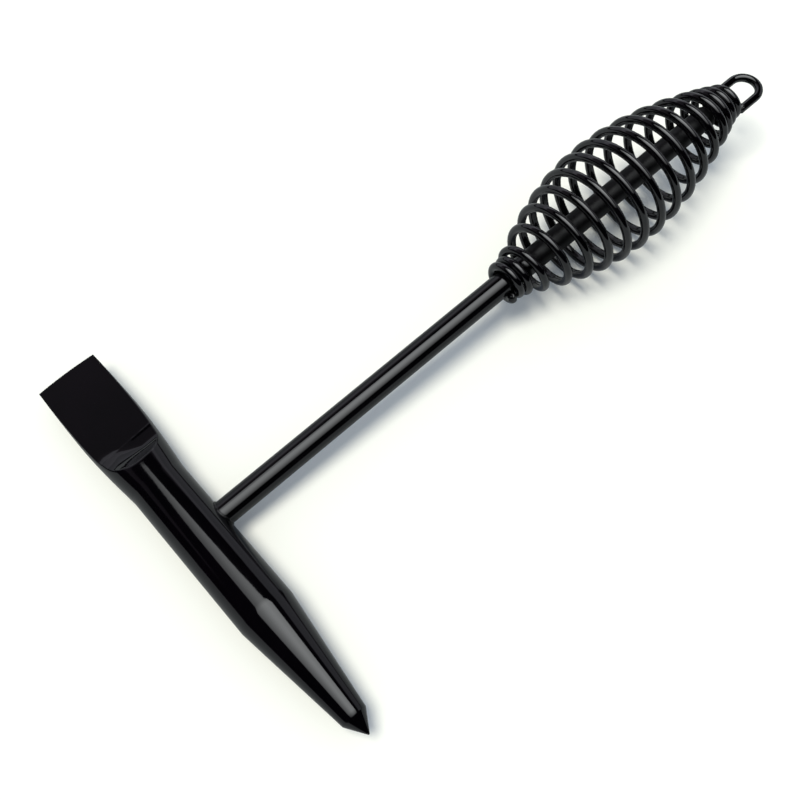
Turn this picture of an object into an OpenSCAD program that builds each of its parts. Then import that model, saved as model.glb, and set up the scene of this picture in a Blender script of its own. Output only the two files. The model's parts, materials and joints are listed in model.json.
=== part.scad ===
// Welder's chipping hammer with a coil-spring handle, lying on a flat surface.
// +X runs along the handle from the head to the tail, +Y towards the chisel, +Z up.
// The origin is on the surface, under the middle of the hammer's bounding box.

/* [Head] */
// Diameter of the round body of the head
body_d = 20.9; // [18:0.1:24]
// Distance from the handle's axis to the tip of the point
tip_y = 88.6; // [75:0.1:100]
// Distance from the handle's axis to where the cone of the point begins
cone_y = 37.4; // [25:0.1:50]
// Length of the short steep end of the point
tip_len = 7.1; // [4:0.1:12]
// Diameter of the cone where the steep end begins
tip_d = 9.6; // [6:0.1:13]

/* [Chisel] */
// Distance from the handle's axis to the cutting edge
edge_y = 83.6; // [70:0.1:100]
// Greatest width of the blade
blade_w = 25.2; // [22:0.1:30]
// Distance from the handle's axis to where the blade starts to spread
spread_y = 24; // [18:0.1:28]
// Distance over which the blade spreads to its greatest width
spread_len = 32; // [20:0.1:40]
// Distance from the handle's axis to the top of the forged shoulders
shoulder_y = 31; // [29:0.1:36]
// Distance from the handle's axis to the crease between the shoulders and the flats
crease_y = 42.8; // [40:0.1:50]
// Thickness of the blade at the crease
crease_t = 8.2; // [6:0.1:11]
// Thickness of the blade at the cutting edge
edge_t = 1.8; // [1:0.1:3]

/* [Handle rod] */
// Diameter of the rod
rod_d = 9.5; // [8:0.1:10]
// How deep the rod is let into the side of the head
eye_depth = 8.5; // [5:0.1:12]
// Distance from the head's axis to the tail end of the rod
rod_end_x = 261; // [240:0.5:263]
// Leg of the ring of weld round the rod at the head
weld_leg = 0.9; // [0.7:0.1:2]

/* [Spring grip] */
// Diameter of the spring wire
wire_d = 3.4; // [2.6:0.1:3.4]
// Greatest outer diameter of the grip
grip_d = 47.4; // [40:0.1:52]
// Outer diameter of the close-wound ends
collar_d = 17.1; // [17:0.1:18]
// Distance from the head's axis to the widest part of the grip
belly_x = 204; // [198:0.5:208]
// Length over which the grip narrows from its belly to the collar
front_len = 54.5; // [50:0.5:60]
// Length over which the grip narrows from its belly to the tail
rear_len = 66.2; // [60:0.5:70]
// Distance from the head's axis to the first whole turn
first_turn_x = 143.5; // [140:0.1:146]
// Extra length that the open turns add to the close-wound length
open_len = 64.7; // [60:0.1:68]
// Extra gap between neighbouring turns at the tail
tail_gap = 1.2; // [0:0.1:1.6]

/* [Hanging loop] */
// Outer width of the loop
loop_w = 15.8; // [14:0.1:17]
// Distance from the head's axis to the end of the loop
loop_end_x = 290.8; // [286:0.1:296]
// How far the loop sits off the handle's axis, towards the point
loop_shift = 1.2; // [0:0.1:2]
// Radius of the tack welds at the feet of the loop
tack_r = 2.5; // [2:0.1:2.6]
// Radius of the tack weld at the collar
collar_tack_r = 2; // [1.8:0.1:2.2]

/* [Hidden] */
body_r = body_d / 2;
rod_r = rod_d / 2;
wire_r = wire_d / 2;
eye_x = body_r - eye_depth;

// Half-thickness of the bar that the blade is forged from, and how far its sides draw in at the edge.
bar_half_t = 7.3;
edge_pull = 0.5;
// Depth of the scoop of the shoulders below a straight slope.
shoulder_sag = 1.2;
// Overrun of a cutting shape past the surface that it cuts.
overrun = 4;
rod_chamfer = 0.8;
round_fn = 96;
rod_fn = 64;
wire_fn = 32;
bead_fn = 40;

// The wire is wound as a right-handed coil. A turn number n gives the angle round the handle.
start_turn = 0.25;
end_turn = 17.3;
first_turn_angle = 112.5;
// Turns between which the coil is open, and the skew of the opening towards the tail.
open_from = 2.75;
open_to = 14.05;
open_skew = 0.144;
// Gap between neighbouring close-wound turns, and the tailward lean of the turns' +Y side.
turn_gap = 0.1;
turn_lean = 0.03;
belly_power = 0.92;
turn_steps = 20;
wire_sides = 8;
// Distance from the cut start of the wire back to the middle of its tack weld.
tack_back = 1;
// Turns beside which the two legs of the loop stand.
left_leg_turn = 16.75;
right_leg_turn = 17.25;
// An octagon with the same area as the round wire.
wire_poly_r = wire_r * sqrt(PI / (4 * sin(45)));

collar_r = (collar_d - wire_d) / 2;
belly_r = (grip_d - wire_d) / 2;
loop_r = (loop_w - wire_d) / 2;
loop_x = loop_end_x - wire_r - loop_r;

// The hammer lies on its head and on the belly of the grip, so the handle rises towards the tail.
tilt = asin((belly_r + wire_r - body_r) / belly_x);
front_x = -blade_w / 2 * cos(tilt);
rear_x = (loop_x + loop_r) * cos(tilt) + wire_r;
mid_x = (front_x + rear_x) / 2;
mid_y = (edge_y - tip_y) / 2;

black = "#141519";
weld_black = "#101114";

// Share of the extra length used up by turn n.
function open_share(n) = let(t = max(0, min(1, (n - open_from) / (open_to - open_from))))
    t - open_skew * (1 - cos(360 * t)) / (2 * PI);
function turn_angle(n) = first_turn_angle + 360 * n;
function turn_x(n) = first_turn_x + (wire_d + turn_gap) * n + open_len * open_share(n)
    + tail_gap * max(0, n - open_to);
function turn_r(x) = let(u = x < belly_x ? (belly_x - x) / front_len : (x - belly_x) / rear_len)
    collar_r + (belly_r - collar_r) * pow(max(0, cos(90 * min(1, u))), belly_power);
function wire_point(n) = let(r = turn_r(turn_x(n)), a = turn_angle(n))
    [turn_x(n) + turn_lean * r * cos(a), r * cos(a), r * sin(a)];
function unit(v) = v / norm(v);
// One ring of points round the wire at turn n, square to the wire.
function wire_ring(n) = let(
        step = 1 / turn_steps / 4,
        p = wire_point(n),
        along = unit(wire_point(n + step) - wire_point(n - step)),
        out = unit([0, p[1], p[2]]),
        side = unit(cross(along, out)),
        up = cross(side, along))
    [for (i = [0:wire_sides - 1]) let(a = 360 * (i + 0.5) / wire_sides)
        p + wire_poly_r * (cos(a) * side + sin(a) * up)];

// Places a shape drawn along the handle and the head where the lying hammer has it.
module lying() {
    translate([-mid_x, -mid_y, body_r])
        rotate([0, -tilt, 0])
            children();
}

// Turns a shape drawn along Z so that it runs along the head.
module along_head() {
    rotate([-90, 0, 0])
        children();
}

// Turns a shape drawn along Z so that it runs along the handle.
module along_handle() {
    rotate([0, 90, 0])
        children();
}

// The round body with its cone point, up to the crease of the blade.
module point_and_body() {
    along_head()
        rotate_extrude($fn = round_fn)
            polygon([[0, -tip_y], [tip_d / 2, tip_len - tip_y], [body_r, -cone_y], [body_r, crease_y],
                [0, crease_y]]);
}

// The forged blade before its faces are flattened: a bar that spreads to the sides.
module spread_bar() {
    steps = 10;
    side = [for (i = [0:steps]) [body_r + (blade_w / 2 - body_r) * sin(90 * i / steps),
        spread_y + spread_len * i / steps]];
    intersection() {
        along_head()
            rotate_extrude($fn = round_fn)
                polygon(concat([[0, spread_y]], side, [[blade_w / 2 - edge_pull, edge_y], [0, edge_y]]));
        translate([-blade_w, spread_y, -bar_half_t])
            cube([2 * blade_w, edge_y, 2 * bar_half_t]);
    }
}

// What the forging and grinding take off one face of the blade: a scooped shoulder, then the flat.
module face_cut() {
    steps = 8;
    drop = body_r - crease_t / 2;
    run = crease_y - shoulder_y;
    scoop = [for (i = [0:steps]) let(t = i / steps)
        [shoulder_y + run * t, body_r - drop * t - shoulder_sag * sin(180 * t)]];
    slope = (crease_t - edge_t) / 2 / (edge_y - crease_y);
    translate([-blade_w, 0, 0])
        rotate([90, 0, 90])
            linear_extrude(2 * blade_w)
                polygon(concat([[shoulder_y - overrun, body_r + overrun]], scoop,
                    [[edge_y + overrun, edge_t / 2 - overrun * slope],
                    [edge_y + overrun, body_r + overrun]]));
}

module hammer_head() {
    color(black)
        lying()
            difference() {
                union() {
                    point_and_body();
                    spread_bar();
                }
                face_cut();
                mirror([0, 0, 1])
                    face_cut();
                translate([eye_x, 0, 0])
                    along_handle()
                        cylinder(r = rod_r, h = 2 * body_r, $fn = rod_fn);
            }
}

module handle_rod() {
    color(black)
        lying()
            along_handle()
                rotate_extrude($fn = rod_fn)
                    polygon([[0, eye_x], [rod_r, eye_x], [rod_r, rod_end_x - rod_chamfer],
                        [rod_r - rod_chamfer, rod_end_x], [0, rod_end_x]]);
}

// Fillet of weld where the rod meets the round side of the head.
module head_weld() {
    root_x = sqrt(pow(body_r, 2) - pow(rod_r + weld_leg, 2));
    color(weld_black)
        lying()
            difference() {
                along_handle()
                    rotate_extrude($fn = rod_fn)
                        polygon([[rod_r, root_x], [rod_r + weld_leg, root_x],
                            [rod_r + weld_leg, body_r], [rod_r, body_r + weld_leg]]);
                along_head()
                    cylinder(r = body_r, h = body_d, center = true, $fn = round_fn);
            }
}

// Tack on the rod at the cut start of the wire, just clear of the wire itself. Its root is sunk
// into the rod.
module collar_weld() {
    color(weld_black)
        lying()
            translate([turn_x(start_turn) - tack_back, -rod_r - collar_tack_r / 2, 0])
                sphere(r = collar_tack_r, $fn = bead_fn);
}

// The whole coil as one wire swept along its centre line, with flat ends.
module spring_grip() {
    rings = round((end_turn - start_turn) * turn_steps);
    points = [for (i = [0:rings]) each wire_ring(start_turn + (end_turn - start_turn) * i / rings)];
    last = rings * wire_sides;
    skin = [for (i = [0:rings - 1], j = [0:wire_sides - 1]) let(
            a = i * wire_sides + j,
            b = i * wire_sides + (j + 1) % wire_sides)
        each [[a, b, b + wire_sides], [a, b + wire_sides, a + wire_sides]]];
    start_cap = [for (j = [1:wire_sides - 2]) [0, j + 1, j]];
    end_cap = [for (j = [1:wire_sides - 2]) [last, last + j, last + j + 1]];
    color(black)
        lying()
            polyhedron(points = points, faces = concat(skin, start_cap, end_cap));
}

// Where a leg of the loop meets the tail side of the coil. side is 1 for +Y and -1 for -Y.
function leg_foot_x(side) = turn_x(side > 0 ? left_leg_turn : right_leg_turn) + wire_r + turn_gap;

module loop_leg(side) {
    foot = leg_foot_x(side);
    translate([foot, side * loop_r - loop_shift, 0])
        along_handle()
            cylinder(r = wire_r, h = loop_x - foot, $fn = wire_fn);
}

module hanging_loop() {
    color(black)
        lying()
            union() {
                loop_leg(1);
                loop_leg(-1);
                translate([loop_x, -loop_shift, 0])
                    rotate([0, 0, -90])
                        rotate_extrude(angle = 180, $fn = rod_fn)
                            translate([loop_r, 0])
                                circle(r = wire_r, $fn = wire_fn);
            }
}

// A bead at the foot of one leg of the loop. It runs into the leg and the last turn of the coil.
module loop_weld(side) {
    color(weld_black)
        lying()
            translate([leg_foot_x(side), side * loop_r - loop_shift, 0])
                sphere(r = tack_r, $fn = bead_fn);
}

module loop_weld_left() loop_weld(1);

module loop_weld_right() loop_weld(-1);

hammer_head();
handle_rod();
head_weld();
collar_weld();
spring_grip();
hanging_loop();
loop_weld_left();
loop_weld_right();
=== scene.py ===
import json
import math

import bpy
from mathutils import Matrix, Vector, noise


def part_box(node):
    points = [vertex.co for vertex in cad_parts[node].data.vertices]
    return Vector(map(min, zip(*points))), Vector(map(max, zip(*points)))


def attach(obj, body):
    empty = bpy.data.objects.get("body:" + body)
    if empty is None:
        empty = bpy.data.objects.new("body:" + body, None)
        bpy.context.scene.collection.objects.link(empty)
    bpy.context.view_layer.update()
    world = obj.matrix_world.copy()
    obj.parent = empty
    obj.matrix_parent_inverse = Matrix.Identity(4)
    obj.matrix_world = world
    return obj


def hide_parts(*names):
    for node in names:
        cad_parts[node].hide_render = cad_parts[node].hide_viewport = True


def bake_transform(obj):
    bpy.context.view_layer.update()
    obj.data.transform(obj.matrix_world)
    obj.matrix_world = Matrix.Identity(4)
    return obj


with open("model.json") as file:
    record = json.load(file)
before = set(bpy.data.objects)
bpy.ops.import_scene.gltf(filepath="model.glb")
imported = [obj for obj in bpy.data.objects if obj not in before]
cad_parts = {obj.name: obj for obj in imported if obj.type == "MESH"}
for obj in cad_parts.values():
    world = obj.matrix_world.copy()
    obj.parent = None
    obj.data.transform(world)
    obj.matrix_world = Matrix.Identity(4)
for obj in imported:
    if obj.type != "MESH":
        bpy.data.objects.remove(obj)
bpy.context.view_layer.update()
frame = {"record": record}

# ---------------------------------------------------------------------------------------------
# Where things are. Sizes below are in millimetres in the hammer's own axes, before it lies down:
# x along the handle from the head's axis, y along the head from the handle's axis, z upwards.
# ---------------------------------------------------------------------------------------------
MM = 0.001
MOUNTS = {m["name"]: m for m in frame["record"]["mounts"]}
HANDLE_AXIS = Vector(MOUNTS["handle_bar"]["axis"]).normalized()
HEAD_AXIS = Vector((0, 1, 0))
TILT = math.asin(HANDLE_AXIS.z)

head_low, head_high = (Vector(v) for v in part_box("hammer_head"))
rod_low, rod_high = (Vector(v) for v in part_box("handle_rod"))
loop_low, loop_high = (Vector(v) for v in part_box("hanging_loop"))
spring_low, spring_high = (Vector(v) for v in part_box("spring_grip"))
CENTRE = Vector(((head_low.x + head_high.x) / 2, (rod_low.y + rod_high.y) / 2,
                 (head_low.z + head_high.z) / 2))

BODY_R = (head_high.z - head_low.z) / 2 / MM
TIP_Y = (CENTRE.y - head_low.y) / MM
EDGE_Y = (head_high.y - CENTRE.y) / MM
BLADE_R = (head_high.x - head_low.x) / 2 / math.cos(TILT) / MM
ROD_R = MOUNTS["handle_bar"]["dims"]["r_mm"]
LOOP_HALF_W = (loop_high.y - loop_low.y) / 2 / MM
LOOP_Y = ((loop_high.y + loop_low.y) / 2 - CENTRE.y) / MM

# Shape of the head.
CONE_Y, TIP_LEN, TIP_R = 37.4, 7.1, 4.8
SPREAD_Y, SPREAD_LEN = 24.0, 32.0
SHOULDER_Y, CREASE_Y = 31.0, 42.8
CREASE_T, EDGE_T = 8.2, 1.8
# How far the blade's sides draw in at the edge, and the edge's corners draw back over the last stretch.
EDGE_PULL, EDGE_BOW, EDGE_BOW_RUN = 0.5, 0.5, 8.0
# Slope of the crease across the blade, and how far its -x corner dips towards the handle.
CREASE_SLOPE, CREASE_DIP = 0.06, 1.2
# Depth of the shoulder's scoop at -x, and what is added to it at +x.
SCOOP_DEPTH, SCOOP_EXTRA = 0.9, 1.5
# Radius of the crease at +x, what is added to it at -x, and the radius between faces and sides.
CREASE_ROUND, CREASE_ROUND_EXTRA, SIDE_ROUND = 0.25, 2.2, 0.5

# Shape of the spring: n counts turns, and a turn's angle is measured from +y towards +z.
WIRE_R = 1.7
START_TURN, END_TURN, FIRST_ANGLE = 0.25, 17.3, 112.5
OPEN_FROM, OPEN_TO, OPEN_SKEW, OPEN_LEN, TAIL_GAP = 2.75, 14.05, 0.144, 64.7, 1.2
FIRST_TURN_X, TURN_PITCH, TURN_LEAN = 143.5, 3.5, 0.03
BELLY_X, FRONT_LEN, REAR_LEN, BELLY_POWER = 204.0, 54.5, 66.2, 0.92
COLLAR_R = 6.85
BELLY_R = (spring_high.z - spring_low.z) / 2 / MM - WIRE_R
ROD_END_X, ROD_ROUND, ROD_FOOT_ROUND = 261.0, 0.8, 0.3
EYE_X = BODY_R - 8.5
WELD_LEG = 0.6
LEFT_LEG_TURN, RIGHT_LEG_TURN, LEG_OVERLAP = 16.75, 17.25, 0.6
LOOP_R = LOOP_HALF_W - WIRE_R
LOOP_X = ((loop_high.x - CENTRE.x) / MM - WIRE_R) / math.cos(TILT) - LOOP_R


def lying():
    """Matrix from the hammer's own axes, in millimetres, to the row frame, in metres."""
    up = HANDLE_AXIS.cross(HEAD_AXIS)
    turn = Matrix((HANDLE_AXIS, HEAD_AXIS, up)).transposed().to_4x4()
    return Matrix.Translation(CENTRE) @ turn @ Matrix.Scale(MM, 4)


PLACE = lying()


def clamp(value):
    return max(0.0, min(1.0, value))


def rise(value, start, length):
    """Share of the way from start that value has gone, from 0 to 1 over length."""
    return clamp((value - start) / length)


def soft_min(a, b, radius):
    """The lower of a and b, rounded off where they cross."""
    gap = clamp(0.5 + 0.5 * (b - a) / radius)
    return b + (a - b) * gap - radius * gap * (1 - gap)


def soft_max(a, b, radius):
    return -soft_min(-a, -b, radius)


def make_piece(name, points, faces, material):
    """A smooth-shaded mesh object from points in the hammer's own axes."""
    mesh = bpy.data.meshes.new(name)
    mesh.from_pydata([PLACE @ Vector(p) for p in points], [], faces)
    mesh.validate()
    mesh.shade_smooth()
    mesh.materials.append(material)
    piece = bpy.data.objects.new(name, mesh)
    bpy.context.collection.objects.link(piece)
    return piece


def skin_rings(rings, closed_ends=True):
    """Points and faces of a skin over rings of equal length, with a fan over each end."""
    sides = len(rings[0])
    points = [p for ring in rings for p in ring]
    faces = []
    for i in range(len(rings) - 1):
        for j in range(sides):
            a, b = i * sides + j, i * sides + (j + 1) % sides
            faces.append((a, b, b + sides, a + sides))
    if closed_ends:
        for ring, first, flip in ((rings[0], 0, True), (rings[-1], (len(rings) - 1) * sides, False)):
            middle = sum((Vector(p) for p in ring), Vector()) / sides
            points.append(middle)
            hub = len(points) - 1
            for j in range(sides):
                a, b = first + j, first + (j + 1) % sides
                faces.append((b, a, hub) if flip else (a, b, hub))
    return points, faces


def tube(path, radii, sides=24):
    """Rings of a round tube along path, with its own radius at each point."""
    rings = []
    side = None
    for i, p in enumerate(path):
        along = (path[min(i + 1, len(path) - 1)] - path[max(i - 1, 0)]).normalized()
        if side is None:
            side = along.cross(Vector((1, 0, 0)) if abs(along.x) < 0.9 else Vector((0, 0, 1)))
        side = (side - along * side.dot(along)).normalized()
        up = along.cross(side)
        ring = []
        for j in range(sides):
            a = 2 * math.pi * j / sides
            ring.append(p + radii[i] * (math.cos(a) * side + math.sin(a) * up))
        rings.append(ring)
    return rings


# ---------------------------------------------------------------------------------------------
# Materials
# ---------------------------------------------------------------------------------------------
# Where the rod's paint turns dull: over this many metres, rougher by DULL_ROUGHNESS, with no coat.
DULL_RUN, DULL_ROUGHNESS = 0.012, 0.3
SPECULAR, DULL_SPECULAR = 0.5, 0.32


def remap(tree, source, from_range, to_range):
    """Output of a node that maps source linearly from one range to another."""
    node = tree.nodes.new("ShaderNodeMapRange")
    for socket, value in zip(("From Min", "From Max", "To Min", "To Max"), (*from_range, *to_range)):
        node.inputs[socket].default_value = value
    tree.links.new(source, node.inputs["Value"])
    return node.outputs["Result"]


def enamel(name, tint_a, tint_b, roughness, peel_mm, peel_depth_mm, lumps_mm=9.0, lump_depth_mm=0.01,
           dull_from=None, coat=0.35):
    """Gloss black enamel: two close tints in soft patches, orange peel and slight runs in the bump,
    and a gloss that varies a little with handling. Beyond x = dull_from the paint is dry and dull."""
    material = bpy.data.materials.new(name)
    material.use_nodes = True
    nodes, links = material.node_tree.nodes, material.node_tree.links
    shader = nodes["Principled BSDF"]
    shader.inputs["Metallic"].default_value = 0.0
    shader.inputs["IOR"].default_value = 1.5
    shader.inputs["Coat Weight"].default_value = coat
    shader.inputs["Coat Roughness"].default_value = 0.05
    coords = nodes.new("ShaderNodeTexCoord")

    def noise_node(size_mm, detail, rough=0.5):
        node = nodes.new("ShaderNodeTexNoise")
        node.inputs["Scale"].default_value = 1 / (size_mm * MM)
        node.inputs["Detail"].default_value = detail
        node.inputs["Roughness"].default_value = rough
        links.new(coords.outputs["Object"], node.inputs["Vector"])
        return node

    patches = noise_node(26.0, 4.0, 0.6)
    ramp = nodes.new("ShaderNodeValToRGB")
    ramp.color_ramp.elements[0].position = 0.35
    ramp.color_ramp.elements[0].color = (*tint_a, 1)
    ramp.color_ramp.elements[1].position = 0.65
    ramp.color_ramp.elements[1].color = (*tint_b, 1)
    links.new(patches.outputs["Fac"], ramp.inputs["Fac"])
    links.new(ramp.outputs["Color"], shader.inputs["Base Color"])

    smudges = noise_node(12.0, 6.0, 0.65)
    gloss = remap(material.node_tree, smudges.outputs["Fac"], (0.3, 0.7), (roughness * 0.8, roughness * 1.3))
    if dull_from is None:
        links.new(gloss, shader.inputs["Roughness"])
    else:
        split = nodes.new("ShaderNodeSeparateXYZ")
        links.new(coords.outputs["Object"], split.inputs["Vector"])
        dull_span, no_to_full = (dull_from, dull_from + DULL_RUN), (0.0, DULL_ROUGHNESS)
        dull = remap(material.node_tree, split.outputs["X"], dull_span, no_to_full)
        total = nodes.new("ShaderNodeMath")
        total.operation = "ADD"
        links.new(gloss, total.inputs[0])
        links.new(dull, total.inputs[1])
        links.new(total.outputs["Value"], shader.inputs["Roughness"])
        bare = remap(material.node_tree, dull, no_to_full, (coat, 0.0))
        links.new(bare, shader.inputs["Coat Weight"])
        thin = remap(material.node_tree, dull, no_to_full, (SPECULAR, DULL_SPECULAR))
        links.new(thin, shader.inputs["Specular IOR Level"])

    peel = noise_node(peel_mm, 2.0)
    lumps = noise_node(lumps_mm, 2.0)
    peel_bump = nodes.new("ShaderNodeBump")
    peel_bump.inputs["Strength"].default_value = 1.0
    peel_bump.inputs["Distance"].default_value = peel_depth_mm * MM
    lump_bump = nodes.new("ShaderNodeBump")
    lump_bump.inputs["Strength"].default_value = 1.0
    lump_bump.inputs["Distance"].default_value = lump_depth_mm * MM
    links.new(lumps.outputs["Fac"], lump_bump.inputs["Height"])
    links.new(peel.outputs["Fac"], peel_bump.inputs["Height"])
    links.new(lump_bump.outputs["Normal"], peel_bump.inputs["Normal"])
    links.new(peel_bump.outputs["Normal"], shader.inputs["Normal"])
    links.new(peel_bump.outputs["Normal"], shader.inputs["Coat Normal"])
    return material


HEAD_PAINT = enamel("head_enamel", (0.0006, 0.0006, 0.0010), (0.0014, 0.0009, 0.0018), 0.07, 1.6, 0.004,
                    14.0, 0.03)
ROD_PAINT = enamel("rod_enamel", (0.0006, 0.0006, 0.0009), (0.0013, 0.0011, 0.0016), 0.08, 1.2, 0.004,
                   dull_from=(PLACE @ Vector((150, 0, 0))).x)
WIRE_PAINT = enamel("wire_enamel", (0.0006, 0.0006, 0.0009), (0.0013, 0.0010, 0.0017), 0.05, 0.9, 0.003,
                    coat=0.9)
WELD_PAINT = enamel("weld_enamel", (0.0006, 0.0006, 0.0009), (0.0013, 0.0010, 0.0015), 0.18, 0.7, 0.03,
                    2.5, 0.12)


# ---------------------------------------------------------------------------------------------
# Head
# ---------------------------------------------------------------------------------------------
def outline(y):
    """Half-width and half-height of the bar at y, before its faces are flattened."""
    if y <= TIP_LEN - TIP_Y:
        share = (y + TIP_Y) / TIP_LEN
        r = TIP_R * (0.05 + 0.95 * share)
        return r, r
    if y <= -CONE_Y:
        share = (y + TIP_Y - TIP_LEN) / (TIP_Y - TIP_LEN - CONE_Y)
        r = TIP_R + (BODY_R - TIP_R) * share
        return r, r
    spread = math.sin(math.pi / 2 * clamp((y - SPREAD_Y) / SPREAD_LEN))
    pull = EDGE_PULL * clamp((y - SPREAD_Y - SPREAD_LEN) / (EDGE_Y - SPREAD_Y - SPREAD_LEN)) ** 2
    return BODY_R + (BLADE_R - BODY_R) * spread - pull, BODY_R


def face_height(x, y):
    """Height of the forged face over x, y: the scooped shoulder, the crease and the ground flat."""
    fall = (CREASE_T - EDGE_T) / 2 / (EDGE_Y - CREASE_Y)
    flat = CREASE_T / 2 - fall * (y - CREASE_Y)
    crease = CREASE_Y + CREASE_SLOPE * x - CREASE_DIP * rise(-x, 5, 6)
    share = (y - SHOULDER_Y) / (crease - SHOULDER_Y)
    drop = BODY_R - CREASE_T / 2
    sag = SCOOP_DEPTH + SCOOP_EXTRA * rise(x, -5, 9)
    scoop = BODY_R - drop * share - sag * math.sin(math.pi * clamp(share))
    return soft_max(flat, scoop, CREASE_ROUND + CREASE_ROUND_EXTRA * rise(-x, 3, 6))


def head_stations():
    """Places along the head for its rings, close together where the shape changes fast."""
    stretches = ((-TIP_Y, TIP_LEN - TIP_Y, 12), (TIP_LEN - TIP_Y, -CONE_Y, 36), (-CONE_Y, SPREAD_Y, 40),
                 (SPREAD_Y, CREASE_Y + 4, 90), (CREASE_Y + 4, EDGE_Y - 1, 44), (EDGE_Y - 1, EDGE_Y, 3))
    stations = [-TIP_Y]
    for low, high, count in stretches:
        stations += [low + (high - low) * (i + 1) / count for i in range(count)]
    return stations


def make_head():
    sides = 224
    rings = []
    for y in head_stations():
        half_w, half_h = outline(y)
        ring = []
        for j in range(sides):
            a = 2 * math.pi * j / sides
            x, z = half_w * math.cos(a), half_h * math.sin(a)
            if y > SPREAD_Y:
                height = soft_min(abs(z), face_height(x, y), SIDE_ROUND)
                z = math.copysign(min(height, abs(z)), z) if abs(z) > 0.3 else z
            bow = EDGE_BOW * (x / BLADE_R) ** 2 * rise(y, EDGE_Y - EDGE_BOW_RUN, EDGE_BOW_RUN)
            ring.append(Vector((x, y - bow, z)))
        rings.append(ring)
    points, faces = skin_rings(rings)
    head = make_piece("head_forging", points, [f[::-1] for f in faces], HEAD_PAINT)
    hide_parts("hammer_head")
    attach(head, "hammer")


# ---------------------------------------------------------------------------------------------
# Rod and its weld
# ---------------------------------------------------------------------------------------------
def make_rod():
    straight_steps, end_steps = 80, 6
    low, high = EYE_X + ROD_FOOT_ROUND, ROD_END_X - ROD_ROUND
    stations = [EYE_X, low]
    stations += [low + (high - low) * (i + 1) / straight_steps for i in range(straight_steps)]
    radii = [ROD_R - ROD_FOOT_ROUND] + [ROD_R] * (straight_steps + 1)
    for i in range(1, end_steps + 1):
        turn = math.pi / 2 * i / end_steps
        stations.append(high + ROD_ROUND * math.sin(turn))
        radii.append(ROD_R - ROD_ROUND + ROD_ROUND * math.cos(turn))
    rings = tube([Vector((x, 0, 0)) for x in stations], radii, 72)
    points, faces = skin_rings(rings)
    rod = make_piece("handle_bar_rod", points, faces, ROD_PAINT)
    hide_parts("handle_rod")
    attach(rod, "hammer")


def make_head_weld():
    """A small rippled bead all round the rod, lying in the corner between rod and head."""
    around, across = 160, 14
    ripples, ripple_depth, unevenness = 34, 0.05, 0.10
    rings = []
    for i in range(around):
        a = 2 * math.pi * i / around
        out = Vector((0, math.cos(a), math.sin(a)))
        ripple = 1 + ripple_depth * math.sin(ripples * a) + unevenness * noise.noise(out * 3.1)
        ring = []
        for j in range(across):
            t = 2 * math.pi * j / across
            lift = out * (ROD_R + WELD_LEG * 0.42 + WELD_LEG * 0.52 * ripple * math.cos(t))
            seat = math.sqrt(max(BODY_R ** 2 - lift.z ** 2, 0))
            ring.append(Vector((seat + WELD_LEG * (0.28 + 0.62 * ripple * math.sin(t)), 0, 0)) + lift)
        rings.append(ring)
    points, faces = skin_rings(rings, closed_ends=False)
    last = (around - 1) * across
    for j in range(across):
        b = (j + 1) % across
        faces.append((last + j, last + b, b, j))
    weld = make_piece("rod_weld_bead", points, [f[::-1] for f in faces], WELD_PAINT)
    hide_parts("head_weld")
    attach(weld, "hammer")


# ---------------------------------------------------------------------------------------------
# Spring grip
# ---------------------------------------------------------------------------------------------
def turn_x(n):
    share = clamp((n - OPEN_FROM) / (OPEN_TO - OPEN_FROM))
    opened = share - OPEN_SKEW * (1 - math.cos(2 * math.pi * share)) / (2 * math.pi)
    return FIRST_TURN_X + TURN_PITCH * n + OPEN_LEN * opened + TAIL_GAP * max(0, n - OPEN_TO)


def turn_radius(x):
    away = (BELLY_X - x) / FRONT_LEN if x < BELLY_X else (x - BELLY_X) / REAR_LEN
    return COLLAR_R + (BELLY_R - COLLAR_R) * max(0, math.cos(math.pi / 2 * clamp(away))) ** BELLY_POWER


def wire_point(n):
    r = turn_radius(turn_x(n))
    a = math.radians(FIRST_ANGLE + 360 * n)
    return Vector((turn_x(n) + TURN_LEAN * r * math.cos(a), r * math.cos(a), r * math.sin(a)))


def make_spring():
    steps_per_turn, cut = 56, 0.3
    count = int((END_TURN - START_TURN) * steps_per_turn)
    path = [wire_point(START_TURN + (END_TURN - START_TURN) * i / count) for i in range(count + 1)]
    inner_radii = [WIRE_R] * (len(path) - 2)
    first, last = (path[1] - path[0]).normalized(), (path[-1] - path[-2]).normalized()
    path = [path[0], path[0] + first * cut * 0.3, path[0] + first * cut] + path[1:-1] + [
        path[-1] - last * cut, path[-1] - last * cut * 0.3, path[-1]]
    end_radii = [WIRE_R - cut, WIRE_R - cut * 0.3, WIRE_R]
    radii = end_radii + inner_radii + end_radii[::-1]
    points, faces = skin_rings(tube(path, radii, 24))
    spring = make_piece("coil_wire", points, faces, WIRE_PAINT)
    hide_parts("spring_grip")
    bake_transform(spring)


def lumpy_bead(name, centre, size, squash, seed, body, node):
    """A tack of weld: a ball pressed flat against what it holds, with a rippled, spattered skin."""
    rings = []
    rows, sides = 18, 32
    lump, spatter = 0.16, 0.05
    for i in range(rows + 1):
        up = math.pi * (0.02 + 0.96 * i / rows)
        ring = []
        for j in range(sides):
            a = 2 * math.pi * j / sides
            d = Vector((math.sin(up) * math.cos(a), math.sin(up) * math.sin(a), math.cos(up)))
            r = size * (1 + lump * noise.noise(d * 1.7 + Vector((seed, 0, 0)))
                        + spatter * noise.noise(d * 5.0 + Vector((0, seed, 0))))
            ring.append(Vector(centre) + Vector((d.x * squash[0], d.y * squash[1], d.z * squash[2])) * r)
        rings.append(ring)
    points, faces = skin_rings(rings)
    bead = make_piece(name, points, [f[::-1] for f in faces], WELD_PAINT)
    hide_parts(node)
    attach(bead, body)


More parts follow.
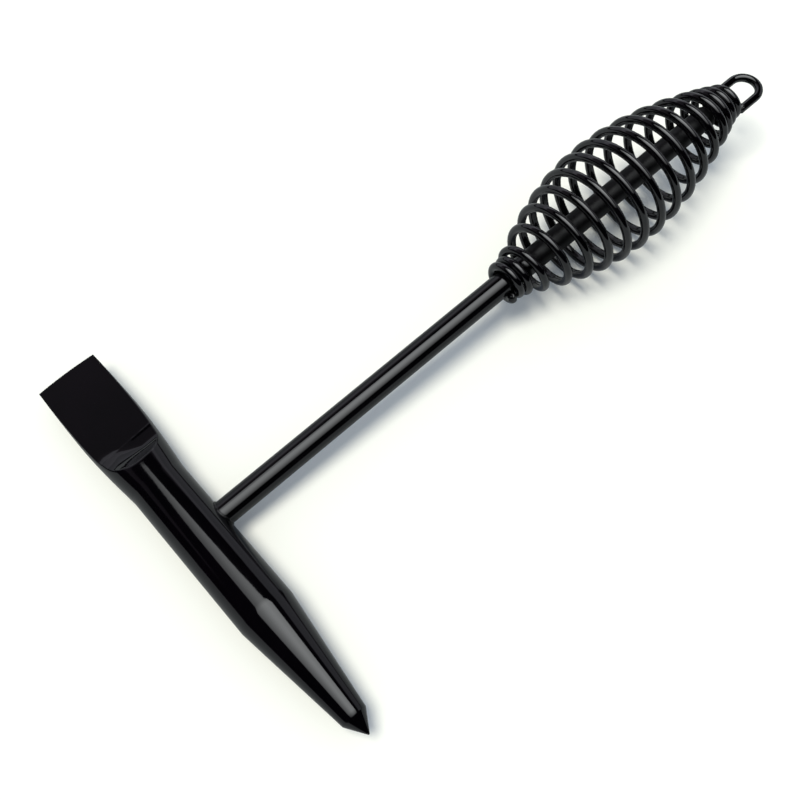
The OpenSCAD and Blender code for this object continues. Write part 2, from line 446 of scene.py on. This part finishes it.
# ---------------------------------------------------------------------------------------------
# Hanging loop
# ---------------------------------------------------------------------------------------------
def foot_x(side):
    """Where a leg of the loop meets the coil. side is 1 for +y and -1 for -y."""
    return turn_x(LEFT_LEG_TURN if side > 0 else RIGHT_LEG_TURN) + WIRE_R


def make_loop():
    leg_steps, bend_steps = 10, 48
    left_len = LOOP_X - foot_x(1) + LEG_OVERLAP
    right_len = LOOP_X - foot_x(-1) + LEG_OVERLAP
    path = [Vector((LOOP_X - left_len * (1 - i / leg_steps), LOOP_Y + LOOP_R, 0)) for i in range(leg_steps)]
    for i in range(bend_steps + 1):
        a = math.pi / 2 - math.pi * i / bend_steps
        path.append(Vector((LOOP_X + LOOP_R * math.cos(a), LOOP_Y + LOOP_R * math.sin(a), 0)))
    for i in range(leg_steps):
        path.append(Vector((LOOP_X - right_len * (i + 1) / leg_steps, LOOP_Y - LOOP_R, 0)))
    points, faces = skin_rings(tube(path, [WIRE_R] * len(path), 28))
    loop = make_piece("eye_wire", points, faces, WIRE_PAINT)
    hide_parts("hanging_loop")
    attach(loop, "grip")


# ---------------------------------------------------------------------------------------------
# Camera, floor and light
# ---------------------------------------------------------------------------------------------
# The photograph's viewpoint in the hammer's own axes, from a camera fitted to the outline in the
# photograph: its focal length in mm, its place, the direction that points back from it, and its up.
LENS = 43.65
EYE = (-3.55, -130.9, 316.7)
BACK = (-0.2492, -0.3465, 0.9043)
UP = (0.6203, 0.66, 0.4238)
# Colour of the floor to the eye, and a darker floor colour seen only in reflections, which is painted shade
# for the floor shaded by the object; and the sky's colour with its strength.
FLOOR_SEEN, FLOOR_SHADED_IN_GLOSS = (0.93, 0.93, 0.90, 1), (0.27, 0.28, 0.29, 1)
SKY_COLOUR, SKY_STRENGTH = (0.85, 0.95, 1.08, 1), 0.55
# The key light: strength, width in degrees, colour and the way it shines.
KEY_STRENGTH, KEY_WIDTH, KEY_COLOUR, KEY_WAY = 2.3, 26, (1.0, 0.975, 0.84), (0.25, -0.08, -1.0)


def make_camera():
    data = bpy.data.cameras.new("camera")
    camera = bpy.data.objects.new("camera", data)
    bpy.context.collection.objects.link(camera)
    data.sensor_width = 36.0
    data.lens = LENS
    eye = PLACE @ Vector(EYE)
    turn = PLACE.to_3x3().normalized()
    back = (turn @ Vector(BACK)).normalized()
    up = turn @ Vector(UP)
    up = (up - back * up.dot(back)).normalized()
    side = up.cross(back)
    pose = Matrix((side, up, back)).transposed().to_4x4()
    camera.matrix_world = Matrix.Translation(eye) @ pose
    bpy.context.scene.camera = camera
    bpy.context.scene.view_settings.view_transform = "Standard"


def make_floor():
    mesh = bpy.data.meshes.new("floor")
    half = 4.0
    corners = [(-half, -half, 0), (half, -half, 0), (half, half, 0), (-half, half, 0)]
    mesh.from_pydata(corners, [], [(0, 1, 2, 3)])
    floor = bpy.data.objects.new("floor", mesh)
    bpy.context.collection.objects.link(floor)
    material = bpy.data.materials.new("floor_paper")
    material.use_nodes = True
    nodes, links = material.node_tree.nodes, material.node_tree.links
    shader = nodes["Principled BSDF"]
    shader.inputs["Roughness"].default_value = 0.9
    shader.inputs["Specular IOR Level"].default_value = 0.0
    # Glossy rays see the darker floor colour: painted shade in the reflections of the floor.
    paths = nodes.new("ShaderNodeLightPath")
    shades = nodes.new("ShaderNodeMix")
    shades.data_type = "RGBA"
    shades.inputs["A"].default_value = FLOOR_SEEN
    shades.inputs["B"].default_value = FLOOR_SHADED_IN_GLOSS
    links.new(paths.outputs["Is Glossy Ray"], shades.inputs["Factor"])
    links.new(shades.outputs["Result"], shader.inputs["Base Color"])
    mesh.materials.append(material)


def soft_box(name, toward, distance, size, radiance, tint):
    """A studio light that only shows in the gloss. toward is its direction from the object."""
    light = bpy.data.lights.new(name, "AREA")
    light.shape = "RECTANGLE"
    light.size, light.size_y = size
    light.energy = radiance * size[0] * size[1] * math.pi
    light.color = tint
    box = bpy.data.objects.new(name, light)
    bpy.context.collection.objects.link(box)
    way = Vector(toward).normalized()
    box.location = way * distance
    box.rotation_euler = (-way).to_track_quat("-Z", "Y").to_euler()
    box.visible_diffuse = False


def lean(degrees, height):
    """How far to the side a point at this height is, seen at this angle from the vertical."""
    return height * math.tan(math.radians(degrees))


def ceiling_panel(name, corners, radiance, tint, along_x, along_y):
    """A studio panel high over the object that only shows in its gloss. corners are leans from the
    vertical, in degrees towards +x and +y. along_x and along_y list (lean, share of the radiance)."""
    height, shift_x = 6.0, -0.1
    mesh = bpy.data.meshes.new(name)
    points = [(lean(a, height) + shift_x, lean(b, height), height) for a, b in corners]
    mesh.from_pydata(points, [], [tuple(range(len(points)))])
    panel = bpy.data.objects.new(name, mesh)
    bpy.context.collection.objects.link(panel)
    material = bpy.data.materials.new(name)
    material.use_nodes = True
    nodes, links = material.node_tree.nodes, material.node_tree.links
    nodes.remove(nodes["Principled BSDF"])
    glow = nodes.new("ShaderNodeEmission")
    glow.inputs["Color"].default_value = (*tint, 1)
    links.new(glow.outputs["Emission"], nodes["Material Output"].inputs["Surface"])
    place = nodes.new("ShaderNodeNewGeometry")
    split = nodes.new("ShaderNodeSeparateXYZ")
    links.new(place.outputs["Position"], split.inputs["Vector"])
    strength = None
    for axis, shares in (("X", along_x), ("Y", along_y)):
        low, high = lean(shares[0][0], height), lean(shares[-1][0], height)
        across = remap(material.node_tree, split.outputs[axis], (low, high), (0.0, 1.0))
        ramp = nodes.new("ShaderNodeValToRGB")
        stops = ramp.color_ramp.elements
        while len(stops) < len(shares):
            stops.new(0.5)
        for stop, (angle, share) in zip(stops, shares):
            stop.position = (lean(angle, height) - low) / (high - low)
            stop.color = (share, share, share, 1)
        links.new(across, ramp.inputs["Fac"])
        step = nodes.new("ShaderNodeMath")
        step.operation = "MULTIPLY"
        step.inputs[0].default_value = radiance
        if strength is not None:
            links.new(strength, step.inputs[0])
        links.new(ramp.outputs["Color"], step.inputs[1])
        strength = step.outputs["Value"]
    links.new(strength, glow.inputs["Strength"])
    mesh.materials.append(material)
    panel.visible_camera = False
    panel.visible_diffuse = False
    panel.visible_shadow = False


def make_light():
    world = bpy.data.worlds.new("studio")
    bpy.context.scene.world = world
    world.use_nodes = True
    nodes, links = world.node_tree.nodes, world.node_tree.links
    background = nodes["Background"]
    background.inputs["Color"].default_value = SKY_COLOUR
    paths = nodes.new("ShaderNodeLightPath")
    dim = remap(world.node_tree, paths.outputs["Is Glossy Ray"], (0.0, 1.0), (SKY_STRENGTH, 0.0))
    links.new(dim, background.inputs["Strength"])

    sun = bpy.data.lights.new("key", "SUN")
    sun.energy = KEY_STRENGTH
    sun.angle = math.radians(KEY_WIDTH)
    sun.color = KEY_COLOUR
    key = bpy.data.objects.new("key", sun)
    bpy.context.collection.objects.link(key)
    key.rotation_euler = Vector(KEY_WAY).to_track_quat("-Z", "Y").to_euler()
    key.visible_glossy = False

    ceiling_panel("overhead", [(-29, -46), (33, -46), (33, 4), (26, 16), (13, 20), (8, 23.5), (3, 27.5),
                               (-8, 28), (-22, 24), (-24, 15), (-31, 4)], 3.4, (0.96, 0.99, 1.0),
                  [(-34, 0.28), (-15, 0.6), (0, 0.9), (10, 1.0), (34, 0.75)],
                  [(-46, 0.12), (-27, 0.55), (-9, 0.95), (9, 1.0), (17, 0.62), (28, 0.42)])
    ceiling_panel("far_glow", [(-60, 34), (60, 34), (60, 62), (-60, 62)], 0.24, (0.95, 0.86, 1.0),
                  [(-60, 0.7), (60, 1.0)], [(34, 0.4), (62, 1.0)])
    soft_box("far_wall", (0.2, 1.0, 0.42), 3.2, (5.2, 2.0), 0.35, (0.88, 0.9, 1.0))
    soft_box("side_wall", (1.0, 0.1, 0.42), 3.2, (5.2, 2.0), 0.35, (0.88, 0.9, 1.0))


make_camera()
make_floor()
make_light()
make_head()
make_rod()
make_head_weld()
make_spring()
make_loop()
lumpy_bead("collar_tack", (turn_x(START_TURN) - 0.7, -ROD_R - 1.6, -1.3), 1.9, (1.0, 0.9, 1.1), 3.0,
           "hammer", "collar_weld")
lumpy_bead("eye_tack_left", (foot_x(1), LOOP_Y + LOOP_R, 0), 2.1, (1.1, 0.95, 0.9), 7.0,
           "grip", "loop_weld_left")
lumpy_bead("eye_tack_right", (foot_x(-1), LOOP_Y - LOOP_R + 0.5, 0), 2.1, (1.15, 0.95, 0.9), 11.0,
           "grip", "loop_weld_right")
